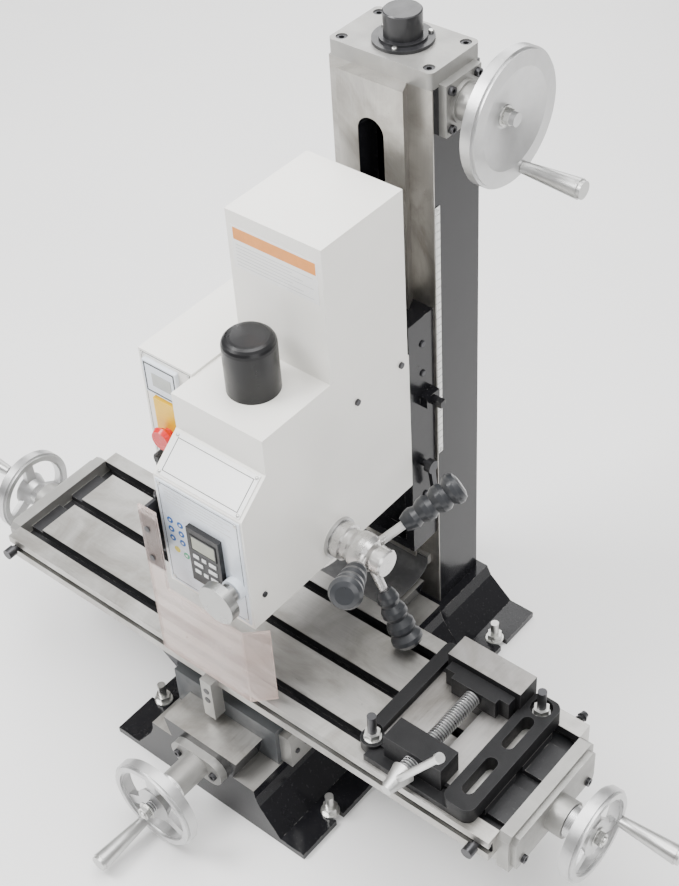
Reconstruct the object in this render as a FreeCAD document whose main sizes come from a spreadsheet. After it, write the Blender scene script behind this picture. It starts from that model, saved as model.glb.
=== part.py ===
import FreeCAD, Part
import math
import os
import re

# Benchtop milling machine. Millimetres, +Z up, front towards -Y, origin on the underside of the base
# at the centre of the four hold-down points. X = 0 is the plane of the spindle, column and base.

os.makedirs("parts", exist_ok=True)
doc = FreeCAD.newDocument("milling_machine")

# ---------------------------------------------------------------- driving dimensions

DIMENSIONS = dict(
    base_half_width=145, base_half_length=222, flange_thick=8, shoulder_height=70, shoulder_half=78,
    way_height=99, way_half=55, way_root=47, way_rear=118, slot_x=131, slot_y=159, slot_radius=6,
    column_half=63, column_front=138, column_back=214, column_foot=49, column_top=762,
    rail_front=121, rail_half=41, rail_root=33, rail_bottom=130, gap=0.06, face_gap=0.3, flank_rise=0.14,
    plate_thick=18, z_screw_y=176, z_shaft_height=737, z_wheel_x=124, z_wheel_radius=69.5,
    spindle_y=-75, head_half=60, head_front=-171, head_back=95, head_bottom=281, head_top=515,
    slope_low=437, slope_high=470, slope_back=-131, sheet=2.5,
    motor_front=-29, motor_back=93, motor_top=677, motor_y=32, seam_height=470, seam_front=5,
    quill_radius=28, spindle_radius=20, nose_height=262, pulley_radius=35, pulley_low=445,
    feed_y=-35, feed_height=306, feed_root_x=98, feed_arm=124, feed_tilt=26, feed_turn=31, pitch_radius=12,
    knob_x=43, knob_height=337, knob_radius=23,
    carriage_low=172, carriage_high=505,
    table_mid=14, table_half=350, table_front=-182, table_back=-2, table_top=185, table_edge=30,
    table_centre=-92, tee_spacing=65, tee_half=6, tee_foot_half=10, tee_neck=10, tee_depth=19,
    trough_width=26, trough_depth=12, saddle_half=76, saddle_front=-178, saddle_back=28,
    saddle_way_low=125, saddle_way_top=143, saddle_way_half=45, saddle_way_root=38,
    x_screw_height=153, x_wheel_offset=414, x_wheel_radius=53,
    y_screw_height=67, y_wheel_y=-296, y_wheel_radius=57,
    box_left=-135, box_front=-101, box_back=40, box_low=370, box_high=518,
    stop_x=-102, stop_height=420, selector_x=-108, selector_height=386,
    vise_left=190, vise_right=338, vise_near=-178, vise_far=-12, vise_bed=197, vise_rail_top=206,
    jaw_top=230, jaw_face=-43, vise_screw_x=258, vise_screw_height=211, bar_y=-192, bar_lean=34,
    foot_bolt_x=40, foot_bolt_front=164, foot_bolt_rear=198,
    top_screw_x=53, top_screw_front=147, top_screw_rear=205,
)

sheet = doc.addObject("Spreadsheet::Sheet", "dims")
for row, (alias, value) in enumerate(DIMENSIONS.items(), start=1):
    sheet.set(f"A{row}", alias)
    sheet.set(f"B{row}", str(value))
    sheet.setAlias(f"B{row}", alias)
doc.recompute()

WORDS = re.compile(r"\b(" + "|".join(sorted(DIMENSIONS, key=len, reverse=True)) + r")\b")


def value(expression):
    """The number that an expression in the sheet's words gives."""
    if not isinstance(expression, str):
        return float(expression)
    numbers = WORDS.sub(lambda m: repr(float(DIMENSIONS[m.group(0)])), expression)
    total = 0.0
    for term in re.findall(r"[+-]?[^+-]+", numbers.replace(" ", "")):
        product = 1.0
        for factor in re.findall(r"[*/]?[^*/]+", term):
            if factor[0] == "/":
                product /= float(factor[1:])
            else:
                product *= float(factor.lstrip("*"))
        total += product
    return total


def bind(item, prop, expression):
    """Ties a property to the sheet, or sets it where the size is the piece's own."""
    if isinstance(expression, str):
        item.setExpression(prop, WORDS.sub(r"dims.\1", expression))
    elif prop.startswith("."):
        item.setExpression(prop, repr(float(expression)))
    else:
        setattr(item, prop, expression)


# ---------------------------------------------------------------- shape helpers

SUBPARTS = []
frame_screws = []
table_fittings = []
counter = [0]


def fresh(kind, label=None):
    counter[0] += 1
    item = doc.addObject(kind, label or f"s{counter[0]}")
    if label:
        item.Label = label
    return item


def keep(item, label):
    item.Label = label
    SUBPARTS.append(item)
    return item


def place(item, x, y, z, axis=None, angle=0.0):
    if axis:
        item.Placement = FreeCAD.Placement(FreeCAD.Vector(), FreeCAD.Rotation(FreeCAD.Vector(*axis), angle))
    bind(item, ".Placement.Base.x", x)
    bind(item, ".Placement.Base.y", y)
    bind(item, ".Placement.Base.z", z)
    return item


def minus(a, b):
    """The expression a - b, for two numbers or plain sums of the sheet's words."""
    if isinstance(a, str) or isinstance(b, str):
        return f"({a}) - ({b})"
    return a - b


def box(x, y, z):
    """A block between two places along each axis."""
    item = fresh("Part::Box")
    bind(item, "Length", minus(x[1], x[0]))
    bind(item, "Width", minus(y[1], y[0]))
    bind(item, "Height", minus(z[1], z[0]))
    return place(item, x[0], y[0], z[0])


TURN = {"x": ((0, 1, 0), 90), "y": ((1, 0, 0), -90), "z": (None, 0)}


def rod(axis, radius, span, across):
    """A cylinder along an axis, between span[0] and span[1], at the two other coordinates."""
    item = fresh("Part::Cylinder")
    bind(item, "Radius", radius)
    bind(item, "Height", minus(span[1], span[0]))
    spot = {"x": (span[0], *across), "y": (across[0], span[0], across[1]), "z": (*across, span[0])}
    return place(item, *spot[axis], *TURN[axis])


def taper(axis, radii, span, across):
    """A cone frustum along an axis."""
    item = fresh("Part::Cone")
    item.Radius1 = radii[0]
    item.Radius2 = radii[1]
    bind(item, "Height", minus(span[1], span[0]))
    spot = {"x": (span[0], *across), "y": (across[0], span[0], across[1]), "z": (*across, span[0])}
    return place(item, *spot[axis], *TURN[axis])


def fuse(*items):
    item = fresh("Part::MultiFuse")
    item.Shapes = list(items)
    return item


def cut(base, *tools):
    item = fresh("Part::Cut")
    item.Base = base
    item.Tool = tools[0] if len(tools) == 1 else fuse(*tools)
    return item


def group(*items):
    item = fresh("Part::Compound")
    item.Links = list(items)
    return item


def rounded(item, radius, *edges):
    """Rounds numbered edges of a block: 1, 3, 5 and 7 are its upright corners."""
    doc.recompute()
    soft = fresh("Part::Fillet")
    soft.Base = item
    soft.Edges = [(edge, radius, radius) for edge in edges]
    return soft


UPRIGHT = (1, 3, 5, 7)


def tube(axis, outer, inner, span, across):
    return cut(rod(axis, outer, span, across), rod(axis, inner, span, across))


ROLES = {"xy": "XY_Plane", "xz": "XZ_Plane", "yz": "YZ_Plane"}


def prism(plane, outline, span):
    """A PartDesign body: an outline in an origin plane, padded between two places along its normal."""
    body = fresh("PartDesign::Body")
    sketch = body.newObject("Sketcher::SketchObject", f"sketch{counter[0]}")
    support = [p for p in body.Origin.OriginFeatures if p.Role == ROLES[plane]][0]
    sketch.AttachmentSupport = [(support, "")]
    sketch.MapMode = "FlatFace"
    corners = [FreeCAD.Vector(value(u), value(v), 0) for u, v in outline]
    for start, end in zip(corners, corners[1:] + corners[:1]):
        sketch.addGeometry(Part.LineSegment(start, end), False)
    pad = body.newObject("PartDesign::Pad", f"pad{counter[0]}")
    pad.Profile = sketch
    bind(pad, "Length", minus(span[1], span[0]))
    body.Tip = pad
    # the sketch on XZ faces -Y, so its pad grows from the far end back to the near one
    offset = {"xy": (0, 0, span[0]), "xz": (0, span[1], 0), "yz": (span[0], 0, 0)}[plane]
    return place(body, *offset)


def turned(outline):
    """A PartDesign body turned about Z from an outline of (radius, height) points, left to be placed."""
    body = fresh("PartDesign::Body")
    sketch = body.newObject("Sketcher::SketchObject", f"sketch{counter[0]}")
    sketch.AttachmentSupport = [([p for p in body.Origin.OriginFeatures if p.Role == "XZ_Plane"][0], "")]
    sketch.MapMode = "FlatFace"
    corners = [FreeCAD.Vector(value(u), value(v), 0) for u, v in outline]
    for start, end in zip(corners, corners[1:] + corners[:1]):
        sketch.addGeometry(Part.LineSegment(start, end), False)
    spin = body.newObject("PartDesign::Revolution", f"turn{counter[0]}")
    spin.Profile = sketch
    spin.ReferenceAxis = (sketch, ["V_Axis"])
    spin.Angle = 360
    body.Tip = spin
    return body


def mirrored(points):
    """An outline from its right half, listed from the bottom up."""
    return list(points) + [(-value(u), v) for u, v in reversed(points)]


def hexagon(radius, span, across, axis="z"):
    item = fresh("Part::Prism")
    item.Polygon = 6
    bind(item, "Circumradius", radius)
    bind(item, "Height", minus(span[1], span[0]))
    spot = {"x": (span[0], *across), "y": (across[0], span[0], across[1]), "z": (*across, span[0])}
    return place(item, *spot[axis], *TURN[axis])


def socket_screw(axis, head, shank, across, outward=1, radius=4.5):
    """A cap screw: head and shank spans along the axis, with a hex socket in the head's outer end."""
    outer = head[1] if outward > 0 else head[0]
    hole = (outer - 2.5, outer + 0.5) if outward > 0 else (outer - 0.5, outer + 2.5)
    body = fuse(rod(axis, radius, head, across), rod(axis, radius * 0.55, shank, across))
    return cut(body, hexagon(radius * 0.55, hole, across, axis))


# ---------------------------------------------------------------- base, column and their fittings


def base():
    front = prism("xz", mirrored([
        ("base_half_width", 0), ("base_half_width", "flange_thick"), (111, "flange_thick"), (84, 46),
        ("shoulder_half + 1", 58), ("shoulder_half", "shoulder_height"), ("way_root", "shoulder_height"),
        ("way_half", "way_height"),
    ]), ("0 - base_half_length", "way_rear"))
    rear = prism("xz", mirrored([
        ("base_half_width", 0), ("base_half_width", "flange_thick"), (111, "flange_thick"), (80, 36),
        (74, "column_foot"),
    ]), ("way_rear", "base_half_length"))
    body = fuse(front, rear)
    tools = [
        box((-74, 74), (-208, -15), (-1, 44)),
        box((-70, 70), (15, 208), (-1, 37)),
        box((-17, 17), (-168, "way_rear + 1"), (54, 101)),
        rod("y", 9, (-223, -167), (0, "y_screw_height")),
    ]
    for sx in (-1, 1):
        for sy in (-1, 1):
            tools.append(rod("z", "slot_radius", (-1, 9), (f"{sx} * slot_x", f"{sy} * slot_y")))
            side = ("slot_x", "base_half_width + 1") if sx > 0 else ("0 - base_half_width - 1", "0 - slot_x")
            middle = value(f"{sy} * slot_y")
            tools.append(box(side, (middle - 6, middle + 6), (-1, 9)))
        for y in ("foot_bolt_front", "foot_bolt_rear"):
            tools.append(rod("z", 6.3, (36, 50), (f"{sx} * foot_bolt_x", y)))
    keep(cut(body, *tools), "base")


def column():
    shaft = box(("0 - column_half", "column_half"), ("column_front", "column_back"),
                ("column_foot", "column_top"))
    rail = prism("xy", mirrored([("rail_half", "rail_front"), ("rail_root", "column_front"),
                                 ("rail_root", "column_front + 1")]), ("rail_bottom", "column_top"))
    tools = [
        box((-50, 50), (150, 202), (71, "column_top + 1")),
        box((-16, 16), (119, 151), (190, 704)),
        rod("y", 16, (119, 151), (0, 704)),
        rod("x", 13, (49, 64), ("z_screw_y", "z_shaft_height")),
    ]
    for sx in (-1, 1):
        for y in ("foot_bolt_front", "foot_bolt_rear"):
            spot = (f"{sx} * foot_bolt_x", y)
            tools.append(rod("z", 6.3, (48, 64), spot))
            frame_screws.append(fuse(rod("z", 6, (37, 62), spot), hexagon(10.5, (29, 37), spot)))
        for y in ("top_screw_front", "top_screw_rear"):
            tools.append(rod("z", 3.6, (744, 763), (f"{sx} * top_screw_x", y)))
    keep(cut(fuse(shaft, rail), *tools), "column")


def column_top():
    plate = rounded(box(("0 - column_half", "column_half"), ("column_front - 1", "column_back + 1"),
                        ("column_top", "column_top + plate_thick")), 6, *UPRIGHT)
    tools = [rod("z", 14, (761, 781), (0, "z_screw_y"))]
    for sx in (-1, 1):
        for y in ("top_screw_front", "top_screw_rear"):
            spot = (f"{sx} * top_screw_x", y)
            tools.append(rod("z", 3.6, (761, 781), spot))
            tools.append(rod("z", 6, (773, 781), spot))
            frame_screws.append(socket_screw("z", (773, 779), (748, 773.5), spot, radius=5.6))
    keep(cut(plate, *tools), "column_top_plate")
    across = (0, "z_screw_y")
    keep(cut(fuse(rod("z", 31, (780, 783.5), across), rod("z", 24, (783.4, 786), across),
                  rod("z", 19.5, (785.9, 811), across), taper("z", (19.5, 18.5), (810.9, 812), across)),
             rod("z", 10, (779, 800), across)), "screw_cap")


def z_drive():
    across = ("z_screw_y", "z_shaft_height")
    flange = box((63, 72), (148, 204), (709, 765))
    housing = fuse(flange, rod("x", 22, (71, 76), across), rod("x", 19, (75, 98), across))
    tools = [rod("x", 10.06, (62, 99), across)]
    for y in (155, 197):
        for z in (716, 758):
            tools.append(rod("x", 3, (62, 73), (y, z)))
            frame_screws.append(socket_screw("x", (72, 76), (63, 72.2), (y, z), radius=4.6))
    keep(cut(housing, *tools), "z_housing")
    keep(fuse(taper("x", (11.5, 23.5), (12, 24), across), rod("x", 14, (23.9, 30), across),
              rod("x", 10, (29.9, 99), across), taper("x", (22, 20), (98.4, 108), across),
              rod("x", 16, (107.9, 112), across), rod("x", 7, (111, 134), across)), "z_pinion_shaft")
    wheel = handwheel("z", "x", 1, "z_wheel_x", across, value("z_wheel_radius"), (14, -60), spokes=0)
    keep(wheel, "z_handwheel")
    across = (0, "z_screw_y")
    screw = fuse(rod("z", 9, (76, 714), across), rod("z", 9.94, (713, 796), across))
    gear = fuse(taper("z", (23.5, 11.5), (713, 725), across), rod("z", 14, (707, 713.1), across))
    keep(fuse(screw, gear), "z_lead_screw")
    keep(cut(fuse(box((-13, 13), ("rail_front - face_gap", 162), (300, 338)), rod("z", 17, (300, 338), across)),
             rod("z", 9.06, (299, 339), across)), "z_nut")


def handwheel(name, axis, way, centre, across, radius, crank, spokes):
    """Keeps a handwheel's turning handle and gives the wheel, which faces outward along way times the axis.

    crank is the handle's place from the wheel's centre; no spokes gives a dished disc.
    """
    middle = value(centre)

    def span(near, far):
        return tuple(sorted((middle + way * near, middle + way * far)))

    def flared(near_radius, far_radius):
        return (near_radius, far_radius) if way > 0 else (far_radius, near_radius)

    tools = [rod(axis, 7, span(-13, 20), across)]
    if spokes:
        rim = fuse(tube(axis, radius, radius - 11, span(-5, 5), across),
                   tube(axis, radius - 2.5, radius - 9, span(-8, 8), across))
        hub = taper(axis, flared(15, 22), span(-12, 5), across)
        outline = [(0, -7.5), (radius - 5, -6), (radius - 5, 6), (0, 7.5)]
        webs = [spoke(axis, middle, across, outline, 90 + 360 * k / spokes) for k in range(spokes)]
    else:
        rim = fuse(rod(axis, radius, span(-5, 5), across), rod(axis, radius - 2.5, span(-8, 8), across))
        hub = rod(axis, 15, span(-12, -7), across)
        webs = []
        tools.append(taper(axis, flared(13, radius - 18), span(-4, 8.1), across))
    spot = tuple(value(c) + d for c, d in zip(across, crank))
    pin = rod(axis, 3, span(2, 50), spot)
    handle = fuse(taper(axis, flared(6.4, 10.6), span(8.3, 74), spot), rod(axis, 9.4, span(73.9, 78), spot))
    keep(cut(handle, rod(axis, 3.06, span(8, 52), spot)), f"{name}_handle")
    return fuse(cut(fuse(rim, hub, *webs), *tools), pin)


def spoke(axis, middle, across, outline, angle):
    """A flat spoke from the hub outward, 7 mm thick, in the wheel's own plane."""
    body = prism("xy", outline, (-3.5, 3.5))
    for end in "xyz":
        body.setExpression(f".Placement.Base.{end}", None)
    spin = FreeCAD.Rotation(FreeCAD.Vector(0, 0, 1), angle)
    lay = {
        "x": FreeCAD.Rotation(FreeCAD.Vector(1, 1, 1), 120),
        "y": FreeCAD.Rotation(FreeCAD.Vector(1, 0, 0), 90),
    }
    turn = lay[axis].multiply(spin)
    u, v = (value(c) for c in across)
    spot = FreeCAD.Vector(middle, u, v) if axis == "x" else FreeCAD.Vector(u, middle, v)
    body.Placement = FreeCAD.Placement(spot + turn.multVec(FreeCAD.Vector(0, 0, -3.5)), turn)
    return body


def hold_down():
    for sx in (-1, 1):
        for sy in (-1, 1):
            spot = (f"{sx} * slot_x", f"{sy} * slot_y")
            frame_screws.append(fuse(rod("z", 5, (0.5, 36), spot), rod("z", 11, (8, 10), spot),
                                     hexagon(9.3, (10, 18), spot)))


def y_drive():
    across = (0, "y_screw_height")
    flange = fuse(box((-20, 20), (-232, "0 - base_half_length"), (49, 85)),
                  rod("y", 18, (-232, "0 - base_half_length"), (-20, "y_screw_height")),
                  rod("y", 18, (-232, "0 - base_half_length"), (20, "y_screw_height")))
    bracket = fuse(flange, rod("y", 17, (-270, -231), across))
    tools = [rod("y", 8.06, (-271, -221), across)]
    for x in (-27, 27):
        tools.append(rod("y", 3.4, (-233, -221), (x, "y_screw_height")))
        spot = (x, "y_screw_height")
        frame_screws.append(socket_screw("y", (-236, -232), (-232.2, -222), spot, outward=-1, radius=4.8))
    keep(cut(bracket, *tools), "y_screw_bracket")
    keep(fuse(rod("y", 8, (-283, -200), across), rod("y", 7.5, (-201, 110), across),
              rod("y", 7, (-308, -282), across)), "y_lead_screw")
    keep(cut(taper("y", (14.5, 18), (-283, -270.4), across), rod("y", 8, (-284, -270), across)), "y_dial")
    wheel = handwheel("y", "y", -1, "y_wheel_y", across, value("y_wheel_radius"), (-21, -46), spokes=3)
    keep(wheel, "y_handwheel")


# ---------------------------------------------------------------- saddle and table


def saddle():
    block = box(("0 - saddle_half", "saddle_half"), ("saddle_front", "saddle_back"),
                ("shoulder_height + 0.3", "saddle_way_low"))
    way = prism("yz", [
        ("table_centre - saddle_way_root", "saddle_way_low - 1"),
        ("table_centre - saddle_way_root", "saddle_way_low"),
        ("table_centre - saddle_way_half", "saddle_way_top"),
        ("table_centre + saddle_way_half", "saddle_way_top"),
        ("table_centre + saddle_way_root", "saddle_way_low"),
        ("table_centre + saddle_way_root", "saddle_way_low - 1"),
    ], ("0 - saddle_half", "saddle_half"))
    channel = prism("xz", mirrored([
        ("way_root + gap", "shoulder_height - 1"), ("way_root + gap", "shoulder_height"),
        ("way_half + gap + flank_rise", "way_height + face_gap"),
    ]), ("saddle_front - 1", "saddle_back + 1"))
    keep(cut(fuse(block, way), channel), "saddle")
    x_nut = cut(box((-22, 22), (-101, -83), ("saddle_way_top", 160.5)),
                rod("x", 7.06, (-23, 23), ("table_centre", "x_screw_height")))
    y_nut = cut(box((-14, 14), (-80, -40), (57, "way_height + 0.3")),
                rod("y", 7.56, (-81, -39), (0, "y_screw_height")))
    keep(group(x_nut, y_nut), "screw_nuts")
    stop = fuse(box((-15, 1), (-194, "saddle_front"), (108, "table_top - table_edge - face_gap")),
                box((-15, 1), (-194, "table_front - face_gap"), (150, 168)))
    gib_outline = [("saddle_half", 72), (92, 72), (92, 112), (88, 118), ("saddle_half", 118)]
    gib = prism("xz", gib_outline, (-172, -120))
    keep(group(stop, gib), "saddle_brackets")
    lever = prism("xz", [(-97, 89), (-91, 103), (-131, 123), (-135, 117)], (-156, -146))
    keep(fuse(lever, rod("x", 9, (-94, "0 - saddle_half - 0.3"), (-151, 98))), "saddle_lock_lever")


def table():
    length = ("table_mid - table_half", "table_mid + table_half")
    slab = box(length, ("table_front", "table_back"), ("table_top - table_edge", "table_top"))
    belly = box(length, (-160, -24), ("saddle_way_low + 0.3", "table_top - table_edge + 1"))
    channel = prism("yz", [
        ("table_centre - saddle_way_root - gap", "saddle_way_low - 1"),
        ("table_centre - saddle_way_root - gap", "saddle_way_low"),
        ("table_centre - saddle_way_half - gap - flank_rise", "saddle_way_top + face_gap"),
        ("table_centre + saddle_way_half + gap + flank_rise", "saddle_way_top + face_gap"),
        ("table_centre + saddle_way_root + gap", "saddle_way_low"),
        ("table_centre + saddle_way_root + gap", "saddle_way_low - 1"),
    ], ("table_mid - table_half - 1", "table_mid + table_half + 1"))
    tools = [channel, box(length, (-101.5, -82.5), (140, 161.5)),
             box(length, ("table_front - 1", "table_front + 5"), (166, 175)),
             box(length, ("table_front + 4", "table_front + 8"), (163, 178))]
    neck, foot = value("tee_half"), value("tee_foot_half")
    neck_span = ("table_top - tee_neck - 1", "table_top + 1")
    foot_span = ("table_top - tee_depth", "table_top - tee_neck")
    trough_span = ("table_top - trough_depth", "table_top + 1")
    for k in (-1, 0, 1):
        middle = value("table_centre") + k * value("tee_spacing")
        tools.append(box(length, (middle - neck, middle + neck), neck_span))
        tools.append(box(length, (middle - foot, middle + foot), foot_span))
    for end in (-1, 1):
        outer = value("table_mid") + end * value("table_half")
        inner = outer - end * value("trough_width")
        tools.append(box(tuple(sorted((outer + end, inner))), (-163, -21), trough_span))
        tools.append(rod("x", 3.1, tuple(sorted((outer - end * 14, outer + end))), (-150, 140)))
        tools.append(rod("x", 3.1, tuple(sorted((outer - end * 14, outer + end))), (-34, 140)))
    keep(cut(fuse(slab, belly), *tools), "table")


def cap_outline(inset):
    """An end cap's outline in Y and Z, drawn in from its full size by an inset."""
    near, far = -168 + inset, -16 - inset
    low, high = 128 + inset, 185 - inset
    return [(near + 2, low), (near, low + 6), (near, high - 6), (near + 6, high),
            (far - 6, high), (far, high - 6), (far, low + 6), (far - 2, low)]


def end_caps():
    across = ("table_centre", "x_screw_height")
    caps, screws = [], table_fittings
    for way in (-1, 1):
        face = value("table_mid") + way * value("table_half")

        def span(near, far):
            return tuple(sorted((face + way * near, face + way * far)))

        inner_step = prism("yz", cap_outline(0), span(0, 14))
        outer_step = prism("yz", cap_outline(5), span(13.9, 20))
        body = fuse(inner_step, outer_step, rod("x", 21, span(19.9, 38), across))
        tools = [rod("x", 7.06, span(-1, 40), across)]
        for y in (-150, -34):
            tools.append(rod("x", 3.1, span(-1, 21), (y, 140)))
            head, shank = span(20, 23.5), span(-10, 20.1)
            screws.append(socket_screw("x", head, shank, (y, 140), outward=way, radius=4.8))
        caps.append(cut(body, *tools))
    keep(group(*caps), "table_end_caps")
    for x in (-326, 348):
        screws.append(fuse(rod("y", 4, (-186, -174), (x, 170.5)), rod("y", 6.5, (-197, -186), (x, 170.5))))
    ribs = [taper("y", (5.6, 4.2), (2 + 5 * k, 6 + 5 * k), (346, 170)) for k in range(3)]
    screws.append(fuse(rod("y", 4, (-2, 18), (346, 170)), *ribs))


def x_drive():
    across = ("table_centre", "x_screw_height")
    length = ("table_mid - x_wheel_offset - 4", "table_mid + x_wheel_offset + 4")
    keep(rod("x", 7, length, across), "x_lead_screw")
    radius = value("x_wheel_radius")
    dials, wheels = [], []
    for side, way, crank in (("left", -1, (-20, 42)), ("right", 1, (42, -20))):
        plane = value("table_mid") + way * value("x_wheel_offset")

        def span(near, far):
            return tuple(sorted((plane + way * near, plane + way * far)))

        radii = (18, 15) if way > 0 else (15, 18)
        dials.append(cut(taper("x", radii, span(-25.5, -12.2), across), rod("x", 7, span(-27, -12), across)))
        wheels.append(handwheel(f"x_{side}", "x", way, plane, across, radius, crank, spokes=3))
    keep(group(*dials), "x_dials")
    keep(group(*wheels), "x_handwheels")


def way_cover():
    """The rubber sheet between the column and the back of the saddle, with its clamp bar."""
    keep(box((-50, 50), ("column_front - 5", "column_front"), (112, 126)), "way_cover_bar")
    upper = [(130, 124), (130, 109), (117, 103), (74, 103), (52, 111), (36, 122), (28, 122)]
    lower = [(28, 119), (34, 119), (50, 108), (73, 99.6), (119, 99.6), (133, 106), (133, 124)]
    outline = upper + lower
    keep(prism("yz", outline, (-50, 50)), "way_cover")


# ---------------------------------------------------------------- head


def head_shells():
    lower = prism("yz", [
        ("head_front", "head_bottom"), ("head_front", "slope_low"), ("slope_back", "slope_high"),
        ("slope_back", "head_top"), ("seam_front", "head_top"), ("seam_front", "seam_height"),
        ("head_back", "seam_height"), ("head_back", "head_bottom"),
    ], ("0 - head_half", "head_half"))
    hollow = prism("yz", [
        ("head_front + sheet", "head_bottom - 1"), ("head_front + sheet", "slope_low - 1"),
        ("slope_back + sheet", "slope_high - 1"), ("slope_back + sheet", "head_top - sheet"),
        ("seam_front - sheet", "head_top - sheet"), ("seam_front - sheet", "seam_height - sheet"),
        ("head_back + 1", "seam_height - sheet"), ("head_back + 1", "head_bottom - 1"),
    ], ("sheet - head_half", "head_half - sheet"))
    across = ("feed_y", "feed_height")
    tools = [hollow, rod("z", 24, (510, 516), (0, "spindle_y")), box((-52, 52), (-24, 89), (460, 516)),
             rod("x", 14, (55, 61), across), rod("y", 9, (-172, -167), ("knob_x", "knob_height"))]
    bearing = fuse(rod("x", 24, ("head_half", 64), across), rod("x", 15, (52, "head_half"), across))
    keep(fuse(cut(lower, *tools), cut(bearing, rod("x", 8.06, (51, 65), across))), "head_cover")
    upper = prism("yz", [
        ("motor_front", "head_top"), ("motor_front", "motor_top"), ("motor_back", "motor_top"),
        ("motor_back", "seam_height"), ("seam_front", "seam_height"), ("seam_front", "head_top"),
    ], ("0 - head_half", "head_half"))
    space = prism("yz", [
        ("motor_front + sheet", "head_top - 1"), ("motor_front + sheet", "motor_top - sheet"),
        ("motor_back - sheet", "motor_top - sheet"), ("motor_back - sheet", "seam_height - 1"),
        ("seam_front - 1", "seam_height - 1"), ("seam_front - 1", "head_top - 1"),
    ], ("sheet - head_half", "head_half - sheet"))
    keep(cut(upper, space), "motor_cover")
    screws = [rod("x", 3.6, ("head_half", "head_half + 2.5"), (y, 466)) for y in (9, 81)]
    screws.append(rod("x", 3.6, ("0 - head_half - 2.5", "0 - head_half"), (81, 466)))
    screws.append(rod("x", 3.2, ("head_half", "head_half + 2"), (-152, 319)))
    keep(group(*screws), "cover_screws")


def head_casting():
    nose = box((-44, 44), (-120, "head_back + 1"), (285, 400))
    carriage = box(("0 - head_half", "head_half"), ("head_back", "column_front - face_gap"),
                   ("carriage_low", "carriage_high"))
    channel = prism("xy", mirrored([
        ("rail_half + gap + flank_rise", "rail_front - face_gap"), ("rail_root + gap", "column_front"),
        ("rail_root + gap", "column_front + 1"),
    ]), ("carriage_low - 1", "carriage_high + 1"))
    posts = [rod("z", 5, (390, 479), (x, y)) for x in (-46, 46) for y in (-12, 82)]
    plate = cut(box((-51, 51), (-18, 88), (478, 486)), rod("z", 10.5, (477, 487), (0, "motor_y")))
    pointer = fuse(box((58, 70), (112, 134), (388, 402)), box((70, 84), (118, 126), (391, 399)))
    tools = [channel, rod("z", "quill_radius + gap", (284, 401), (0, "spindle_y")),
             rod("x", 12.3, (-45, 45), ("feed_y", "feed_height")), box((-30, 30), (-20, 84), (284, 388)),
             box((-48, 48), (94, 113), (184, 276)), box((-48, 48), (94, 113), (410, 493))]
    keep(cut(fuse(nose, carriage, plate, pointer, *posts), *tools), "head_casting")
    knob = fuse(rod("x", 4, (60.3, 66.1), (116, 300)), rod("x", 8, (66, 74), (116, 300)))
    lever = prism("yz", [(112, 300), (120, 300), (124, 262), (118, 260)], (68, 73))
    keep(fuse(knob, lever), "head_lock_lever")


def quill_and_spindle():
    axis = (0, "spindle_y")
    keep(tube("z", "quill_radius", "spindle_radius + 0.05", ("nose_height + 8", 425), axis), "quill")
    body = fuse(rod("z", "spindle_radius", ("nose_height + 6", 426), axis),
                rod("z", 25, ("nose_height", "nose_height + 7"), axis), rod("z", 13, (425, 506), axis))
    tools = [rod("z", 12.065, (287.8, 364), axis), taper("z", (15.875, 12.065), (262, 287.8), axis),
             rod("z", 7, (363, 507), axis)]
    keep(cut(body, *tools), "spindle")
    keep(fuse(rod("z", 6, (366, 512), axis), hexagon(8.5, (506.5, 520), axis)), "drawbar")
    keep(cut(fuse(rod("z", "pulley_radius", ("pulley_low + 3", "pulley_low + 27"), axis),
                  rod("z", "pulley_radius + 4", ("pulley_low", "pulley_low + 3"), axis),
                  rod("z", "pulley_radius + 4", ("pulley_low + 27", "pulley_low + 30"), axis)),
             rod("z", 13.06, (440, 480), axis)), "spindle_pulley")


def drive():
    axis = (0, "motor_y")
    keep(fuse(rod("z", "pulley_radius", ("pulley_low + 3", "pulley_low + 27"), axis),
              rod("z", "pulley_radius + 4", ("pulley_low", "pulley_low + 3"), axis),
              rod("z", "pulley_radius + 4", ("pulley_low + 27", "pulley_low + 30"), axis),
              rod("z", 9, (474, 500), axis)), "motor_pulley")

    def loop(radius):
        return fuse(rod("z", radius, (449, 471), axis), rod("z", radius, (449, 471), (0, "spindle_y")),
                    box((-radius, radius), ("spindle_y", "motor_y"), (449, 471)))

    keep(cut(loop(38.3), loop(35.3)), "drive_belt")
    can = cut(rod("z", 46, (486, 640), axis), rod("z", 9.3, (485, 503), axis))
    keep(fuse(can, rod("z", 30, (639.9, 655), axis)), "motor")


def head_front():
    keep(box((-15, 29), (-178.5, "head_front - 1.5"), (317, 394)), "depth_display")
    steps = [math.radians(18 * k) for k in range(6)]
    shoulder = [(18 + 10 * math.cos(a), 55 + 10 * math.sin(a)) for a in steps]
    crown = turned([(0, 0), (28, 0), *shoulder, (0, 66)])
    place(crown, 0, "spindle_y", "head_top")
    keep(cut(crown, rod("z", 24, (514, 568), (0, "spindle_y"))), "drawbar_cap")
    across = ("knob_x", "knob_height")
    plate = box((-57, 57), ("head_front - 1.5", "head_front"), (287, 434))
    panel = fuse(plate, rod("y", 13, (-181, -172), across))
    keep(cut(panel, rod("y", 6.06, (-182, -170), across)), "control_panel")
    keep(fuse(rod("y", 6, (-196, -150), across), rod("y", "knob_radius", (-205, -194), across),
              rod("y", 14, (-194.1, -189), across), rod("y", 11, (-189.1, -182), across)), "fine_feed_knob")


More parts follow.
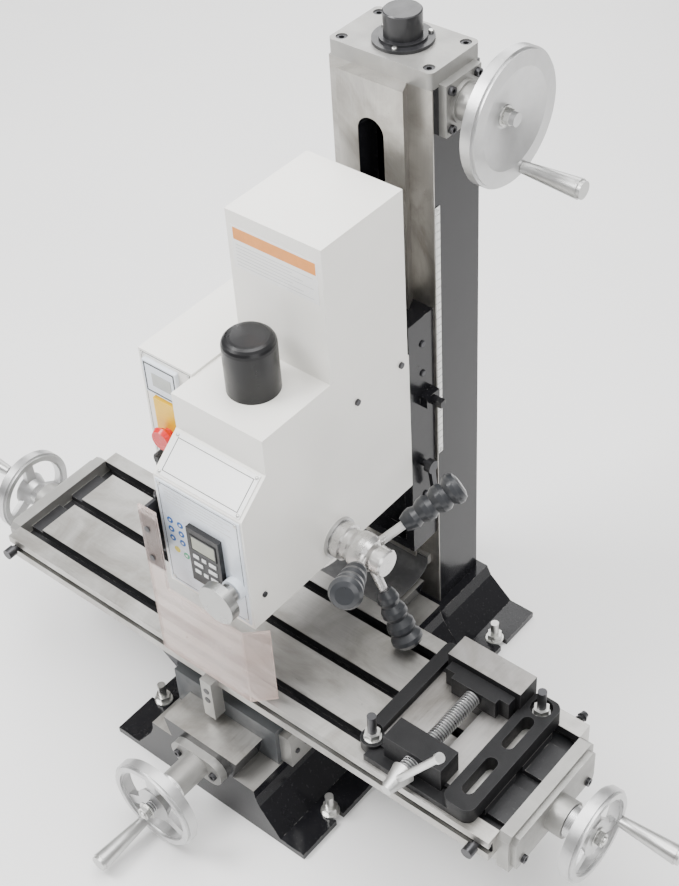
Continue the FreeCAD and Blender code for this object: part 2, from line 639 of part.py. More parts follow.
def feed_levers():
    across = ("feed_y", "feed_height")
    pinion = [(8, -9), ("pitch_radius - 0.3", -9), ("pitch_radius - 0.3", 9), (8, 9)]
    collar = [(8, 64.4), (21, 64.4), (21, 75), (18, 76), (18, 83)]
    boss = [(21, 89), (21.6, 96), (21, 103), (18, 109), (12, 111), (12, 114)]
    button = [(16, 115), (16, 126), (14.5, 128), (0, 128)]
    shaft = turned([(0, -42), (8, -42), *pinion, *collar, *boss, *button])
    lay = FreeCAD.Rotation(FreeCAD.Vector(0, 1, 0), 90)
    shaft.Placement = FreeCAD.Placement(FreeCAD.Vector(0, value("feed_y"), value("feed_height")), lay)
    arms, grips = [], []
    tilt = math.radians(value("feed_tilt"))
    for k in range(3):
        angle = math.radians(value("feed_turn") + 120 * k)
        out = math.cos(tilt)
        line = FreeCAD.Vector(math.sin(tilt), out * math.cos(angle), out * math.sin(angle))
        turn = FreeCAD.Rotation(FreeCAD.Vector(0, 0, 1), line)
        root = FreeCAD.Vector(value("feed_root_x"), value("feed_y"), value("feed_height"))
        arm = fresh("Part::Cylinder")
        arm.Radius = 5
        arm.Height = 46
        arm.Placement = FreeCAD.Placement(root + line * 14.5, turn)
        arms.append(arm)
        waves = [(8.5, 50), (11.5, 57), (12.5, 63), (10.5, 69), (14, 76), (14.5, 82), (11.5, 88), (15.5, 95),
                 (16, 101), (13, 106), (17.5, 112), (18, 117), (15, 122), (10, "feed_arm")]
        handle = turned([(5, 50), *waves, (0, "feed_arm"), (0, 61), (5, 61)])
        handle.Placement = FreeCAD.Placement(root, turn)
        grips.append(handle)
    keep(fuse(shaft, *arms), "feed_hub")
    keep(group(*grips), "feed_grips")


def control_box():
    outer = box(("box_left", "0 - head_half"), ("box_front", "box_back"), ("box_low", "box_high"))
    inner = box(("box_left + sheet", "0 - head_half - 2"), ("box_front + sheet", "box_back - sheet"),
                ("box_low + sheet", "box_high - sheet"))
    spot = ("selector_x", "selector_height")
    shell = fuse(cut(outer, inner), rod("y", 13, (-105, "box_front + sheet"), spot))
    keep(cut(shell, rod("y", 3.06, (-106, -95), spot)), "control_box")
    keep(box((-127, -80), ("box_front - 5", "box_front"), (468, 510)), "speed_display")
    across = ("stop_x", "stop_height")
    housing = box((-119, -85), ("box_front - 5", "box_front"), (403, 462))
    keep(cut(housing, rod("y", 7.06, (-107, -100), across)), "stop_switch_housing")
    keep(fuse(rod("y", 7, (-111, -105.4), across), taper("y", (11.5, 14), (-121, -116), across),
              taper("y", (14, 10), (-116.1, -110.6), across)), "stop_button")
    blade = box(("selector_x - 2.5", "selector_x + 2.5"), (-124, -118.9),
                ("selector_height - 10", "selector_height + 10"))
    keep(fuse(rod("y", 11, (-119, -105.4), spot), blade, rod("y", 3, (-105.5, -96), spot)), "selector_knob")


def chip_guard():
    pin = (-66, -164)
    body = fuse(box((-68, "0 - head_half"), (-150, -130), (318, 400)), *[
        fuse(rod("z", 5, (z, z + 4), pin), box((-68, -64), (-165, -149), (z, z + 4))) for z in (318, 396)])
    keep(fuse(body, rod("z", 2, (318, 400), pin)), "guard_bracket")
    knuckle = fuse(rod("z", 5, (322.3, 395.7), pin), box((-68, -64.5), (-192, -163), (322.3, 395.7)),
                   box((-68, -42), (-192, -190), (322.3, 395.7)))
    rivets = [rod("y", 3.6, (-196.5, -195), (-54, z)) for z in (338, 380)]
    shanks = [rod("y", 2, (-195.1, -191), (-54, z)) for z in (338, 380)]
    keep(fuse(cut(knuckle, rod("z", 2.06, (321, 397), pin)), *rivets, *shanks), "guard_arm")
    outline = [(-64, 189), (64, 189), (64, 297), (-40, 297), (-40, 409), (-64, 409)]
    wing = prism("xy", [(62.5, -195), (64, -195), (85, -174), (83, -172), (62, -192.2)], (189, 297))
    holes = [rod("y", 2, (-196, -191), (-54, z)) for z in (338, 380)]
    keep(cut(fuse(prism("xz", outline, (-195, -192)), wing), *holes), "guard_shield")


# ---------------------------------------------------------------- vise


STUDS = ((200, -157), (320, -27))


def vise():
    rail_span = ("table_top", "vise_rail_top")
    left = rounded(box(("vise_left", "vise_left + 15"), ("vise_near + 14", "vise_far"), rail_span), 7, *UPRIGHT)
    right = rounded(box(("vise_right - 36", "vise_right"), ("vise_near", "vise_far"), rail_span), 11, *UPRIGHT)
    bed = box((204, 303), (-160, -16), ("table_top", "vise_bed"))
    nose = box((204, 312), ("vise_near", -158), ("table_top", "vise_bed - 4"))
    block = box((222, 294), (-166, -136), ("vise_bed - 7", "jaw_top - 4"))
    rear = box((212, 304), ("jaw_face", "vise_far - 1"), ("vise_bed - 7", "jaw_top"))
    lugs = [rod("z", 13, ("table_top", "vise_bed + 1"), spot) for spot in STUDS]
    across = ("vise_screw_x", "vise_screw_height")
    tools = [rod("y", 9.06, (-170, -134), across), box((246, 270), (-132, -62), (184, 198))]
    for spot in STUDS:
        tools.append(rod("z", 5.3, (184, 207), spot))
        tools.append(rod("z", 12, ("vise_bed + 1", 207), spot))
    for near, far in ((-160, -108), (-92, -44)):
        tools.append(box((312, 326), (near + 7, far - 7), (184, 207)))
        for end in (near + 7, far - 7):
            tools.append(rod("z", 7, (184, 207), (319, end)))
    keep(cut(fuse(left, right, bed, nose, block, rear, *lugs), *tools), "vise_body")
    studs = []
    for x, y in STUDS:
        tee = box((x - 9, x + 9), (y - 8, y + 8), (167, 174))
        studs.append(fuse(rod("z", 5, (168, 232), (x, y)), hexagon(9, (198.5, 207), (x, y)),
                          rod("z", 9.5, (198, 199), (x, y)), tee))
    keep(group(*table_fittings, *studs), "table_fittings")
    upper = box((218, 298), ("jaw_face - 12", "jaw_face - face_gap"), ("vise_bed + face_gap", "jaw_top - 8"))
    foot = box((230, 286), ("jaw_face - 19", "jaw_face - 11"), ("vise_bed + face_gap", "jaw_top - 8"))
    keep(cut(fuse(upper, foot), rod("y", 6.06, (-63, -52), across)), "vise_jaw")
    screw = fuse(rod("y", 9, (-180, -62.3), across), rod("y", 6, (-63, -53), across),
                 taper("y", (6, 13), (-208, -179.9), across))
    lean = FreeCAD.Rotation(FreeCAD.Vector(0, 1, 0), value("bar_lean"))
    middle = FreeCAD.Vector(value("vise_screw_x"), value("bar_y"), value("vise_screw_height"))

    def leaning(radius, near, far):
        item = fresh("Part::Cylinder")
        item.Radius = radius
        item.Height = far - near
        item.Placement = FreeCAD.Placement(middle + lean.multVec(FreeCAD.Vector(0, 0, near)), lean)
        return item

    keep(cut(screw, leaning(4.06, -30, 30)), "vise_screw")
    keep(fuse(leaning(4, -18, 98), leaning(5.4, -20, -15), leaning(5.4, 95, 100)), "vise_bar")


for build in (base, column, column_top, z_drive, hold_down, y_drive, saddle, table, end_caps, x_drive,
              way_cover, head_shells, head_casting, quill_and_spindle, drive, head_front, feed_levers,
              control_box, chip_guard, vise):
    build()

keep(group(*frame_screws), "frame_screws")

doc.recompute()

# ---------------------------------------------------------------- checks and export

for item in doc.Objects:
    if "Invalid" in item.State or "Error" in item.State:
        raise RuntimeError(f"{item.Label} failed: {item.State}")

for item in SUBPARTS:
    shape = item.Shape
    if shape.isNull() or not shape.isValid() or shape.Volume <= 0:
        raise RuntimeError(f"{item.Label} has no valid solid")
    shape.exportStep(f"parts/{item.Label}.step")

print(len(SUBPARTS), "sub-parts")
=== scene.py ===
import bmesh
import bpy
import math
from mathutils import Matrix, Vector


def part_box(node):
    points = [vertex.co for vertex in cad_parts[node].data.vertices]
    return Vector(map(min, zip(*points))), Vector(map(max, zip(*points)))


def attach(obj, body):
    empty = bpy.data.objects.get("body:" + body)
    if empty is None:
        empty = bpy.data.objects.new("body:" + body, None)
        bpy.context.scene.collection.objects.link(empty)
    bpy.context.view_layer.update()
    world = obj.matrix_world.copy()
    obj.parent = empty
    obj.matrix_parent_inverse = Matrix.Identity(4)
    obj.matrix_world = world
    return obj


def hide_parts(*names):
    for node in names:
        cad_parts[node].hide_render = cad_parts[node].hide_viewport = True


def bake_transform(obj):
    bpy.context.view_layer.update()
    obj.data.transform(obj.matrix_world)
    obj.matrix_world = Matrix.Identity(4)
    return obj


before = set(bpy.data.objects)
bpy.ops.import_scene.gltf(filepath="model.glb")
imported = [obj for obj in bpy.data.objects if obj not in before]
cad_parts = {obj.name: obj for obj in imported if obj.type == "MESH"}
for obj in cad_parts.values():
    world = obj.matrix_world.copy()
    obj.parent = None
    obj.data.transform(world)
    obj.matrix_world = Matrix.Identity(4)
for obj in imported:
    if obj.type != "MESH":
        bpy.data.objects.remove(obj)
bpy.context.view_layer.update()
MM = 0.001

# Places that the machine's axes pass through, in metres
TABLE_SCREW = (0, -0.092, 0.153)
CROSS_SCREW = (0, 0, 0.067)
CRANK = (0, 0.176, 0.737)
FEED_SHAFT = (0, -0.035, 0.306)
SPINDLE = (0, -0.075, 0)
VISE_AXIS = (0.258, 0, 0.211)
ORIGIN = (0, 0, 0)

# Thin sheets, in millimetres
PANEL_THICK = 1.5
PLATE_THICK = 1.4
SCALE_THICK = 0.8

# ---------------------------------------------------------------- material kit


class Graph:
    """A material's node tree, with short calls for the nodes it is made of."""

    def __init__(self, name):
        self.material = bpy.data.materials.new(name)
        self.material.use_nodes = True
        self.tree = self.material.node_tree
        self.shader = self.tree.nodes["Principled BSDF"]
        self.coords = self.tree.nodes.new("ShaderNodeTexCoord").outputs["Object"]

    def link(self, source, socket):
        if isinstance(source, bpy.types.NodeSocket):
            self.tree.links.new(source, socket)
        else:
            socket.default_value = source

    def set(self, name, source):
        self.link(source, self.shader.inputs[name])

    def mapped(self, scale=(1, 1, 1), centre=(0, 0, 0), turn=(0, 0, 0)):
        """Object coordinates moved to a centre, then turned and scaled."""
        moved = self.tree.nodes.new("ShaderNodeVectorMath")
        moved.operation = "SUBTRACT"
        self.link(self.coords, moved.inputs[0])
        moved.inputs[1].default_value = centre
        node = self.tree.nodes.new("ShaderNodeMapping")
        self.link(moved.outputs[0], node.inputs["Vector"])
        node.inputs["Scale"].default_value = scale
        node.inputs["Rotation"].default_value = turn
        return node.outputs["Vector"]

    def noise(self, size, detail=4.0, rough=0.55, stretch=(1, 1, 1), distortion=0.0):
        """Noise whose features are about size metres, stretched along chosen axes."""
        node = self.tree.nodes.new("ShaderNodeTexNoise")
        self.link(self.mapped(tuple(1 / s for s in stretch)), node.inputs["Vector"])
        node.inputs["Scale"].default_value = 1 / size
        node.inputs["Detail"].default_value = detail
        node.inputs["Roughness"].default_value = rough
        node.inputs["Distortion"].default_value = distortion
        return node.outputs["Fac"]

    def ramp(self, source, stops):
        """A value through a colour ramp; stops are (position, colour or grey)."""
        node = self.tree.nodes.new("ShaderNodeValToRGB")
        self.link(source, node.inputs["Fac"])
        elements = node.color_ramp.elements
        while len(elements) < len(stops):
            elements.new(0.5)
        for element, (position, colour) in zip(elements, stops):
            element.position = position
            element.color = (*colour, 1) if isinstance(colour, tuple) else (colour, colour, colour, 1)
        return node.outputs["Color"]

    def mix(self, factor, a, b, blend="MIX"):
        node = self.tree.nodes.new("ShaderNodeMix")
        node.data_type = "RGBA"
        node.blend_type = blend
        self.link(factor, node.inputs[0])
        self.link(a if isinstance(a, bpy.types.NodeSocket) else (*a, 1), node.inputs[6])
        self.link(b if isinstance(b, bpy.types.NodeSocket) else (*b, 1), node.inputs[7])
        return node.outputs[2]

    def math(self, operation, a, b=0.0, c=0.0, clamp=False):
        node = self.tree.nodes.new("ShaderNodeMath")
        node.operation = operation
        node.use_clamp = clamp
        for socket, item in zip(node.inputs, (a, b, c)):
            self.link(item, socket)
        return node.outputs[0]

    def split(self, source):
        node = self.tree.nodes.new("ShaderNodeSeparateXYZ")
        self.link(source, node.inputs[0])
        return node.outputs

    def span(self, source, low, high, to_low=0.0, to_high=1.0):
        node = self.tree.nodes.new("ShaderNodeMapRange")
        self.link(source, node.inputs["Value"])
        for key, item in (("From Min", low), ("From Max", high), ("To Min", to_low), ("To Max", to_high)):
            node.inputs[key].default_value = item
        return node.outputs["Result"]

    def edges(self, radius=0.0012):
        """1 on outward and inward edges, fading to 0 on flat ground."""
        rounded = self.tree.nodes.new("ShaderNodeBevel")
        rounded.samples = 4
        rounded.inputs["Radius"].default_value = radius
        geometry = self.tree.nodes.new("ShaderNodeNewGeometry")
        dot = self.tree.nodes.new("ShaderNodeVectorMath")
        dot.operation = "DOT_PRODUCT"
        self.link(rounded.outputs["Normal"], dot.inputs[0])
        self.link(geometry.outputs["Normal"], dot.inputs[1])
        return self.span(dot.outputs["Value"], 0.995, 0.90)

    def facing(self, axis=2, low=0.8, high=0.95):
        geometry = self.tree.nodes.new("ShaderNodeNewGeometry")
        return self.span(self.split(geometry.outputs["Normal"])[axis], low, high)

    def within(self, axis, low, high):
        """1 where an object coordinate, in metres, is between low and high."""
        place = self.split(self.coords)[axis]
        above = self.math("GREATER_THAN", place, low)
        return self.math("MULTIPLY", above, self.math("LESS_THAN", place, high))

    def both(self, *masks):
        total = masks[0]
        for mask in masks[1:]:
            total = self.math("MULTIPLY", total, mask)
        return total

    def normal(self, *layers):
        """Stacked bumps; each layer is (height, strength, distance in metres)."""
        result = None
        for height, strength, distance in layers:
            node = self.tree.nodes.new("ShaderNodeBump")
            self.link(height, node.inputs["Height"])
            node.inputs["Strength"].default_value = strength
            node.inputs["Distance"].default_value = distance
            if result:
                self.link(result, node.inputs["Normal"])
            result = node.outputs["Normal"]
        return result

    def done(self, look, coat=0.0, specular=0.5):
        """Connects a look (colour, metal, roughness, normal) to the shader."""
        for key, source in zip(("Base Color", "Metallic", "Roughness", "Normal"), look):
            self.set(key, source)
        self.shader.inputs["Coat Weight"].default_value = coat
        self.shader.inputs["Coat Roughness"].default_value = 0.1
        self.shader.inputs["Specular IOR Level"].default_value = specular
        return self.material

    def between(self, mask, a, b):
        """Look a where the mask is 0 and look b where it is 1."""
        vector = self.tree.nodes.new("ShaderNodeMix")
        vector.data_type = "VECTOR"
        self.link(mask, vector.inputs[0])
        self.link(a[3], vector.inputs[4])
        self.link(b[3], vector.inputs[5])
        values = []
        for first, second in ((a[1], b[1]), (a[2], b[2])):
            node = self.tree.nodes.new("ShaderNodeMix")
            self.link(mask, node.inputs[0])
            self.link(first, node.inputs[2])
            self.link(second, node.inputs[3])
            values.append(node.outputs[0])
        return (self.mix(mask, a[0], b[0]), *values, vector.outputs[1])


def shade(colour, amount):
    return tuple(min(1.0, c * amount) for c in colour)


def enamel(g, colour, rough=(0.16, 0.30), peel=0.05, grime=0.15, worn=(0.33, 0.32, 0.30), wear=0.5):
    """Paint: soft blotches, dust specks, orange peel and rubbed edges."""
    blotch = g.ramp(g.noise(0.12, 5), [(0.32, shade(colour, 1 - grime)), (0.62, colour)])
    dust = g.math("MULTIPLY", g.span(g.noise(0.0035, 3), 0.60, 0.72), 0.10)
    base = g.mix(dust, blotch, shade(tuple(c + 0.12 for c in colour), 1.0))
    chips = g.both(g.edges(), g.span(g.noise(0.009, 4), 0.48, 0.60), wear)
    return (g.mix(chips, base, worn), 0.0, g.span(g.noise(0.05, 6), 0.3, 0.7, *rough),
            g.normal((g.noise(0.0024, 2), peel, 0.0004), (g.noise(0.03, 3), 0.05, 0.002)))


def steel(g, colour=(0.50, 0.49, 0.47), stretch=(26, 1, 1), stain=0.4, rough=(0.26, 0.44), lay=0.12):
    """Ground steel: parallel grinding lines, brown oil stains, small nicks."""
    lines = g.noise(0.0014, 5, 0.7, stretch)
    stained = shade((1.0, 0.97, 0.92), 1 - stain)
    stains = g.ramp(g.noise(0.08, 7, 0.62, (1, 1, 1), 0.8), [(0.30, stained), (0.58, (1.0, 1.0, 1.0))])
    lined = g.mix(1.0, colour, g.ramp(lines, [(0.25, 0.82), (0.7, 1.0)]), "MULTIPLY")
    base = g.mix(1.0, lined, stains, "MULTIPLY")
    nicks = g.math("GREATER_THAN", g.noise(0.0055, 2), 0.74)
    smudge = g.span(g.noise(0.09, 5), 0.42, 0.68, 0.0, 0.12)
    rough_now = g.math("ADD", g.span(lines, 0.3, 0.7, *rough), smudge)
    return (g.mix(g.math("MULTIPLY", nicks, 0.35), base, shade(colour, 0.5)), 0.9, rough_now,
            g.normal((lines, lay, 0.0002), (g.noise(0.006, 3), 0.05, 0.0006)))


def casting(g, colour, grain=0.0016, strength=0.3, rough=(0.42, 0.62), metallic=0.2):
    """A sand casting: pebbled grain, shallow pits, paler edges."""
    base = g.ramp(g.noise(0.05, 6), [(0.3, shade(colour, 0.78)), (0.65, colour)])
    pale = shade(tuple(c * 1.2 + 0.06 for c in colour), 1.0)
    return (g.mix(g.both(g.edges(), 0.5), base, pale), metallic, g.span(g.noise(0.02, 4), 0.3, 0.7, *rough),
            g.normal((g.noise(grain, 3, 0.6), strength, 0.0005), (g.noise(0.008, 3), 0.15, 0.0012)))


def lathe_look(g, axis, centre, colour=(0.60, 0.60, 0.60), rough=(0.30, 0.44), pitch=0.0009, depth=0.05,
               metallic=0.9):
    """Turned metal: fine rings about an axis, finger marks and small nicks."""
    x, y, z = g.split(g.mapped(centre=centre))
    across = {"x": (y, z), "y": (x, z), "z": (x, y)}[axis]
    squares = g.math("ADD", g.math("POWER", across[0], 2.0), g.math("POWER", across[1], 2.0))
    along = {"x": x, "y": y, "z": z}[axis]
    run = g.math("ADD", g.math("SQRT", squares), along)
    rings = g.math("SINE", g.math("MULTIPLY", run, 2 * math.pi / pitch))
    smear = g.noise(0.018, 5)
    tone = g.mix(g.span(smear, 0.35, 0.65), shade(colour, 0.88), colour)
    nicks = g.math("MULTIPLY", g.span(g.noise(0.004, 3), 0.66, 0.78), 0.2)
    return (g.mix(nicks, tone, shade(colour, 0.6)), metallic,
            g.span(smear, 0.3, 0.7, *rough),
            g.normal((rings, depth, 0.0001), (g.noise(0.003, 4), 0.03, 0.0003)))


def moulded(g, colour, rough=(0.30, 0.46), grain=0.0007, strength=0.1):
    """Moulded plastic: spark texture, changes of sheen, scuffed edges."""
    base = g.mix(g.span(g.noise(0.02, 4), 0.3, 0.7), shade(colour, 0.82), colour)
    scuffed = shade(tuple(c * 1.25 + 0.04 for c in colour), 1.0)
    return (g.mix(g.both(g.edges(), 0.4), base, scuffed), 0.0, g.span(g.noise(0.012, 5), 0.3, 0.7, *rough),
            g.normal((g.noise(grain, 2), strength, 0.0002)))


def paint(name, colour, coat=0.2, specular=0.5, **kwargs):
    g = Graph(name)
    return g.done(enamel(g, colour, **kwargs), coat, specular)


def cast(name, colour, specular=0.5, **kwargs):
    g = Graph(name)
    return g.done(casting(g, colour, **kwargs), 0.0, specular)


def turned(name, axis, centre, *args, **kwargs):
    g = Graph(name)
    return g.done(lathe_look(g, axis, centre, *args, **kwargs))


def plastic(name, colour, coat=0.15, specular=0.4, **kwargs):
    g = Graph(name)
    return g.done(moulded(g, colour, **kwargs), coat, specular)


def rubber(name, colour=(0.022, 0.022, 0.023)):
    g = Graph(name)
    dust = g.span(g.noise(0.03, 6, 0.65), 0.48, 0.72, 0.0, 0.35)
    g.shader.inputs["Sheen Weight"].default_value = 0.25
    return g.done((g.mix(dust, colour, (0.14, 0.135, 0.125)), 0.0,
                   g.span(g.noise(0.01, 4), 0.3, 0.7, 0.5, 0.78),
                   g.normal((g.noise(0.0012, 3), 0.3, 0.0004))))


def clear_sheet(name):
    """Clear polycarbonate: faint warm tint, haze and hairline scratches."""
    g = Graph(name)
    haze = g.noise(0.04, 6)
    scratch = g.noise(0.002, 3, 0.6, (20, 1, 20))
    g.shader.inputs["Transmission Weight"].default_value = 0.6
    g.shader.inputs["IOR"].default_value = 1.2
    edge = g.both(g.edges(0.002), 0.35)
    g.set("Alpha", g.math("ADD", g.span(haze, 0.3, 0.7, 0.46, 0.58), edge))
    return g.done((g.mix(g.span(haze, 0.35, 0.65), (0.80, 0.62, 0.56), (0.88, 0.74, 0.69)), 0.0,
                   g.span(scratch, 0.4, 0.75, 0.05, 0.25), g.normal((scratch, 0.04, 0.0002))))


def dial(name, axis, centre, divisions):
    """A turned dial with black graduations round its rim."""
    g = Graph(name)
    x, y, z = g.split(g.mapped(centre=centre))
    across = {"x": (y, z), "y": (x, z)}[axis]
    turn = g.math("DIVIDE", g.math("ARCTAN2", across[0], across[1]), 2 * math.pi)
    part = g.math("FRACT", g.math("MULTIPLY", g.math("ADD", turn, 0.5), float(divisions)))
    tick = g.math("LESS_THAN", part, 0.22)
    ink = (g.mix(0.5, (0.02, 0.02, 0.02), (0.03, 0.03, 0.03)), 0.0,
           g.span(g.noise(0.01, 5), 0.3, 0.7, 0.4, 0.6),
           g.normal((g.noise(0.0008, 3), 0.05, 0.0002)))
    return g.done(g.between(tick, lathe_look(g, axis, centre, (0.76, 0.76, 0.76)), ink))


def thread_look(g, axis, centre, pitch, colour=(0.66, 0.66, 0.67)):
    """A screw: thread crests across the axis, with painted shade darkening the grooves between them."""
    place = g.split(g.mapped(centre=centre))["xyz".index(axis)]
    wave = g.math("SINE", g.math("MULTIPLY", place, 2 * math.pi / pitch))
    # Painted shade: the grooves between the crests are darkened to 0.3 of the colour.
    tone = g.mix(g.span(wave, -1.0, 0.2), shade(colour, 0.30), colour)
    return (tone, 0.92, g.span(g.noise(0.01, 5), 0.3, 0.7, 0.22, 0.4),
            g.normal((wave, 0.9, 0.0012), (g.noise(0.002, 3), 0.08, 0.0003)))


def threaded(name, axis, centre, pitch, *args):
    g = Graph(name)
    return g.done(thread_look(g, axis, centre, pitch, *args))


def zones(name, make_a, make_b, make_mask, coat=0.0, specular=0.5):
    """One material with two looks: b where the mask says, a elsewhere."""
    g = Graph(name)
    return g.done(g.between(make_mask(g), make_a(g), make_b(g)), coat, specular)


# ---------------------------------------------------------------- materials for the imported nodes

INK = (0.010, 0.010, 0.012)
BONE = (0.88, 0.865, 0.82)
SILVER = (0.58, 0.58, 0.58)


def black_enamel(g):
    return enamel(g, INK, (0.10, 0.22), 0.05, 0.2)


def white_coat(g):
    return enamel(g, BONE, (0.28, 0.40), 0.06, 0.035, (0.6, 0.58, 0.54), 0.25)


WHITE = paint("white_powder_coat", BONE, rough=(0.28, 0.40), grime=0.035, worn=(0.6, 0.58, 0.54), wear=0.25)
CAST_GREY = cast("grey_casting", (0.36, 0.355, 0.34), metallic=0.6, rough=(0.34, 0.5), strength=0.25)
SCREW_BLACK = turned("blackened_steel", "z", ORIGIN, (0.07, 0.07, 0.075), (0.32, 0.5))
BRIGHT = turned("bright_steel", "y", CROSS_SCREW, SILVER, (0.16, 0.32))
BLACK_PLASTIC = plastic("black_plastic", (0.010, 0.010, 0.011), 0.05, 0.3)
CAP_PLASTIC = plastic("cap_plastic", (0.010, 0.010, 0.011), 0.05, 0.3, rough=(0.26, 0.38))
RED = plastic("red_plastic", (0.75, 0.010, 0.012), 0.2, rough=(0.2, 0.32))
YELLOW = plastic("yellow_plastic", (0.95, 0.56, 0.0), 0.1)
RUBBER = rubber("black_rubber")
BRONZE = turned("bronze", "z", ORIGIN, (0.50, 0.36, 0.16), (0.25, 0.4))

BASE = zones("base_enamel_and_ways", black_enamel, lambda g: steel(g, (0.44, 0.43, 0.41), (1, 26, 1)),
             lambda g: g.both(g.facing(), g.within(2, 0.062, 0.2)), 0.1, 0.25)


def column_ways(g):
    """The rail's ground metal, but not the inside of its slot."""
    slot = g.both(g.within(0, -0.0163, 0.0163), g.within(2, 0.19, 0.7205), g.within(1, 0.1215, 0.2))
    return g.both(g.within(1, 0.0, 0.1395), g.math("SUBTRACT", 1.0, slot))


# Mask for the insides of the T-slots below the table top; the near-black enamel put there is painted shade in
# the slots.
def table_slot_shade(g):
    return g.both(g.within(1, -0.176, -0.008), g.within(2, 0.160, 0.1838), g.within(0, -0.3355, 0.3635))


def black_steel(g):
    return lathe_look(g, "z", ORIGIN, (0.08, 0.08, 0.085), (0.3, 0.5))


def washer_steel(g):
    return lathe_look(g, "z", ORIGIN, (0.62, 0.62, 0.60), (0.24, 0.4))


def vise_black(g):
    return casting(g, (0.010, 0.010, 0.011), metallic=0.1)


def vise_ground(g):
    return steel(g, (0.34, 0.33, 0.32), (1, 26, 1), 0.35)


def vise_ground_faces(g):
    """The fixed jaw's top and the bed between the rails."""
    bed = g.both(g.within(2, 0.1965, 0.1975), g.within(0, 0.206, 0.3015), g.within(1, -0.156, -0.044))
    return g.both(g.facing(), g.math("ADD", bed, g.within(2, 0.2265, 0.24)))


COLUMN = zones("column_enamel_and_ways", black_enamel,
               lambda g: steel(g, (0.46, 0.445, 0.42), (1, 1, 26), 0.5), column_ways, 0.1, 0.25)
# The table: ground steel, with painted shade (near-black enamel) inside the T-slots.
TABLE = zones("table_ground_and_slot_shade", lambda g: steel(g, (0.52, 0.51, 0.49)),
              lambda g: enamel(g, (0.014, 0.014, 0.016), (0.35, 0.55), 0.2), table_slot_shade)
HEAD_COVER = zones("head_coat_and_boss", white_coat,
                   lambda g: lathe_look(g, "x", FEED_SHAFT, (0.5, 0.5, 0.5)),
                   lambda g: g.within(0, 0.0604, 0.2), 0.15)
HEAD_CASTING = paint("casting_enamel", INK, 0.1, 0.25, rough=(0.14, 0.3))
FRAME_SCREWS = zones("frame_screw_steels", black_steel, washer_steel, lambda g: g.within(2, 0, 0.0367))
FITTINGS = zones("fitting_steels", black_steel, washer_steel, lambda g: g.within(2, 0.19, 0.2072))
VISE = zones("vise_casting_and_ground", vise_black, vise_ground, vise_ground_faces, 0.0, 0.25)
JAW = cast("jaw_casting", (0.010, 0.010, 0.011), 0.25, metallic=0.1)
SADDLE = cast("saddle_casting", (0.085, 0.09, 0.095), metallic=0.35, strength=0.2)
VISE_SCREW = zones("vise_screw_thread", lambda g: lathe_look(g, "y", VISE_AXIS, (0.56, 0.56, 0.55)),
                   lambda g: thread_look(g, "y", VISE_AXIS, 0.0034), lambda g: g.within(1, -0.180, -0.062))
PANEL = paint("panel_face", (0.74, 0.79, 0.86), 0.3, rough=(0.2, 0.32), peel=0.02, grime=0.03, wear=0.1)

NODE_MATERIALS = {
    "base": BASE,
    "column": COLUMN,
    "column_top_plate": CAST_GREY,
    "control_box": WHITE,
    "control_panel": PANEL,
    "cover_screws": SCREW_BLACK,
    "depth_display": BLACK_PLASTIC,
    "drawbar": SCREW_BLACK,
    "drawbar_cap": CAP_PLASTIC,
    "drive_belt": rubber("belt_rubber", (0.018, 0.018, 0.018)),
    "feed_grips": plastic("grip_plastic", (0.030, 0.032, 0.036), 0.1, rough=(0.26, 0.4)),
    "fine_feed_knob": turned("fine_feed_metal", "y", (0.043, 0, 0.337), (0.42, 0.42, 0.41), (0.24, 0.4),
                             depth=0.2),
    "frame_screws": FRAME_SCREWS,
    "guard_arm": SCREW_BLACK,
    "guard_bracket": SCREW_BLACK,
    "guard_shield": clear_sheet("clear_polycarbonate"),
    "head_casting": HEAD_CASTING,
    "head_cover": HEAD_COVER,
    "head_lock_lever": SCREW_BLACK,
    "motor": paint("motor_paint", (0.05, 0.05, 0.055)),
    "motor_cover": WHITE,
    "motor_pulley": turned("motor_pulley_metal", "z", (0, 0.032, 0)),
    "quill": turned("quill_steel", "z", SPINDLE, SILVER),
    "saddle": SADDLE,
    "saddle_brackets": CAST_GREY,
    "saddle_lock_lever": SCREW_BLACK,
    "screw_cap": plastic("screw_cap_plastic", (0.018, 0.018, 0.02), 0.3),
    "screw_nuts": BRONZE,
    "selector_knob": BLACK_PLASTIC,
    "speed_display": PANEL,
    "spindle": turned("spindle_steel", "z", SPINDLE, SILVER),
    "spindle_pulley": turned("spindle_pulley_metal", "z", SPINDLE),
    "stop_button": RED,
    "stop_switch_housing": YELLOW,
    "table": TABLE,
    "table_end_caps": CAST_GREY,
    "table_fittings": FITTINGS,
    "vise_bar": turned("bar_steel", "y", (0.258, -0.192, 0.211), (0.78, 0.78, 0.77)),
    "vise_body": VISE,
    "vise_jaw": JAW,
    "vise_screw": VISE_SCREW,
    "way_cover": RUBBER,
    "way_cover_bar": CAST_GREY,
    "x_dials": dial("x_dial_marks", "x", TABLE_SCREW, 80),
    "x_handwheels": turned("x_wheel_metal", "x", TABLE_SCREW),
    "x_lead_screw": threaded("x_screw_thread", "x", TABLE_SCREW, 0.003),
    "y_dial": dial("y_dial_marks", "y", CROSS_SCREW, 80),
    "y_handwheel": turned("y_wheel_metal", "y", CROSS_SCREW),
    "y_lead_screw": threaded("y_screw_thread", "y", CROSS_SCREW, 0.003),
    "y_screw_bracket": CAST_GREY,
    "z_handwheel": turned("z_wheel_metal", "x", CRANK, (0.62, 0.62, 0.62)),
    "z_housing": CAST_GREY,
    "z_lead_screw": threaded("z_screw_thread", "z", (0, 0.176, 0), 0.004, (0.5, 0.5, 0.5)),
    "z_nut": BRONZE,
    "z_pinion_shaft": turned("z_shaft_steel", "x", CRANK, SILVER),
    "feed_hub": turned("feed_hub_metal", "x", FEED_SHAFT, (0.68, 0.67, 0.66), (0.2, 0.36)),
}
